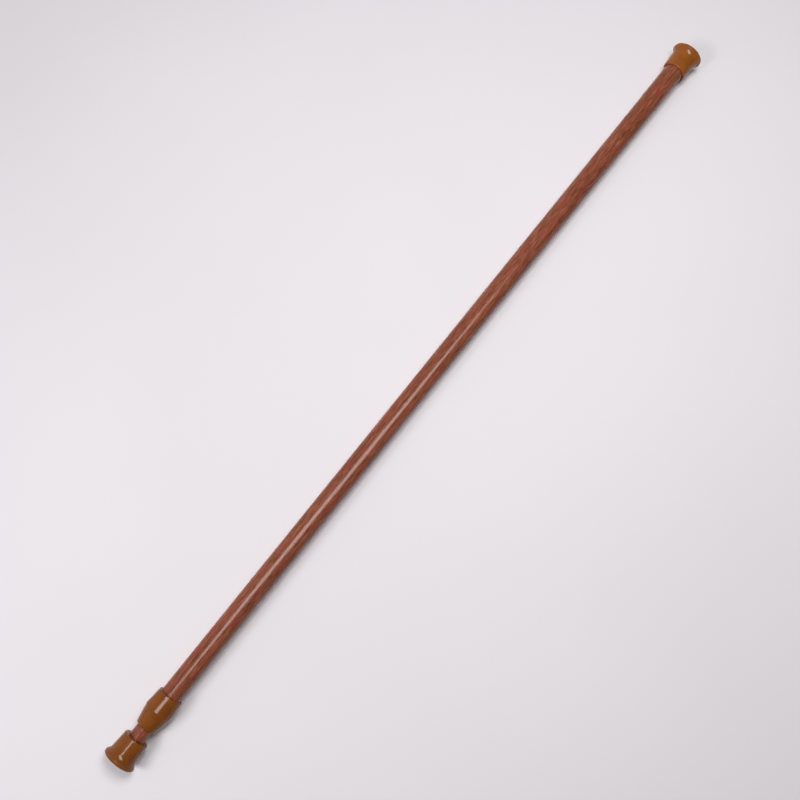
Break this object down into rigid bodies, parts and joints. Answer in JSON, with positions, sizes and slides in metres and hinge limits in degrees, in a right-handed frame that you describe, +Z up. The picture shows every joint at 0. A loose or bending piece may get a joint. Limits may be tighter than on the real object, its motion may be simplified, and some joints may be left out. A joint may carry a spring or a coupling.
{
  "type": "spring tension rod",
  "caption": "Telescopic spring tension rod with a film-covered tube, barrel collar and flared end caps; it wedges between two walls to carry a light curtain.",
  "frame": {"origin": "centre of the fixed end cap's flat face", "axes": "+X along the rod, from the fixed end's face to the sliding end's face; +Z up"},
  "size_m": [0.55, 0.0198, 0.0198],
  "materials": {
    "film_tube": "satin wood-grain film on thin steel tube",
    "brown_plastic": "glossy caramel-brown moulding",
    "nylon": "natural nylon",
    "steel": "zinc-plated",
    "washer_rubber": "black rubber"
  },
  "bodies": {
    "outer": {"outer_tube": "film_tube", "collar": "brown_plastic", "fixed_end_cap": "brown_plastic"},
    "slider": {"guide_ring": "nylon"},
    "lock": {"cam_shaft": "nylon", "cam_screw": "steel", "cam_washer": "steel", "push_rod": "steel", "buffer_washer": "washer_rubber", "spring": "steel"},
    "inner": {"inner_tube": "film_tube", "tube_bush": "nylon", "stop_washer": "steel", "sliding_end_cap": "brown_plastic"},
    "cam": {"cam_ring": "nylon"}
  },
  "joints": [
    {"name": "telescope", "type": "slide", "parent": "outer", "child": "slider", "axis": [1, 0, 0], "range_m": [0, 0.35]},
    {"name": "twist_lock", "type": "hinge", "parent": "slider", "child": "lock", "pos_m": [0.036, 0, 0], "axis": [1, 0, 0], "range_deg": [-28, 28]},
    {"name": "spring_stroke", "type": "slide", "parent": "lock", "child": "inner", "axis": [1, 0, 0], "range_m": [-0.0075, 0], "stiffness_N_per_m": 2690, "springref_m": 0.008, "deforming": ["spring"]},
    {"name": "cam_shift", "type": "hinge", "parent": "lock", "child": "cam", "pos_m": [0.028, 0, -0.0008], "axis": [1, 0, 0], "range_deg": [-28, 28]}
  ],
  "couplings": [
    {"joint": "cam_shift", "follows": "twist_lock", "ratio": -1}
  ]
}
